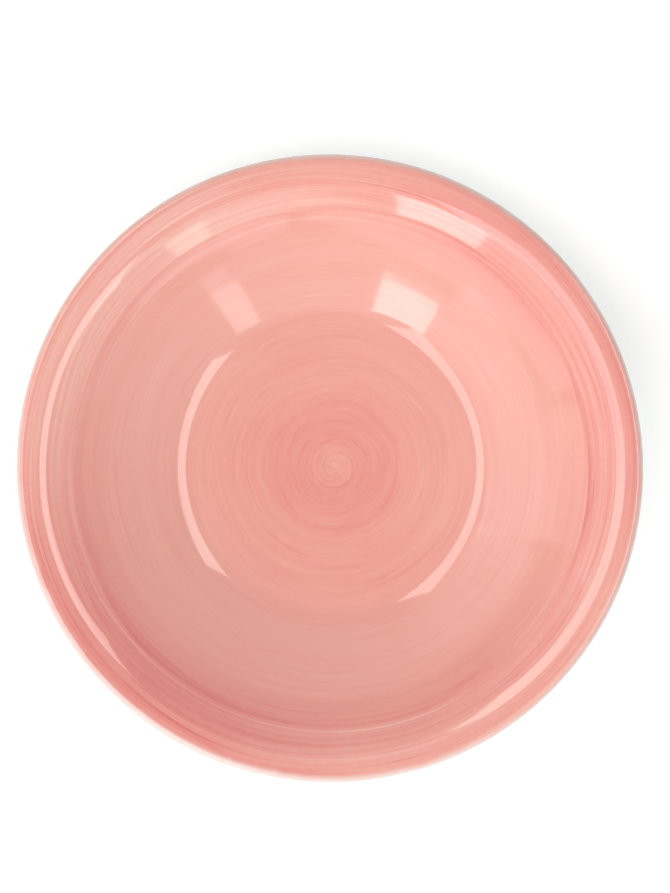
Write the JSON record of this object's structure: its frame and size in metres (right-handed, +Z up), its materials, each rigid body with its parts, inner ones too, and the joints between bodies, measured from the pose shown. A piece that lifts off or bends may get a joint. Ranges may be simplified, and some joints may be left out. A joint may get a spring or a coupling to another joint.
{
  "type": "soup plate",
  "caption": "Round stoneware soup plate with a deep flaring well, a shoulder line, a rolled rim and a brushed pink swirl glaze over plain ivory outside.",
  "frame": {"origin": "centre of the plane that the foot ring stands on", "axes": "+Z up along the plate's axis, out of the well; +X and +Y lie in the plane of the table"},
  "size_m": [0.22, 0.22, 0.0441],
  "materials": {
    "fired_clay": "matte",
    "brushed_pink_glaze": "gloss",
    "ivory_glaze": "gloss"
  },
  "bodies": {
    "root": {"stoneware_body": "fired_clay", "painted_glaze": "brushed_pink_glaze", "outer_glaze": "ivory_glaze", "base_glaze": "ivory_glaze"}
  },
  "joints": []
}
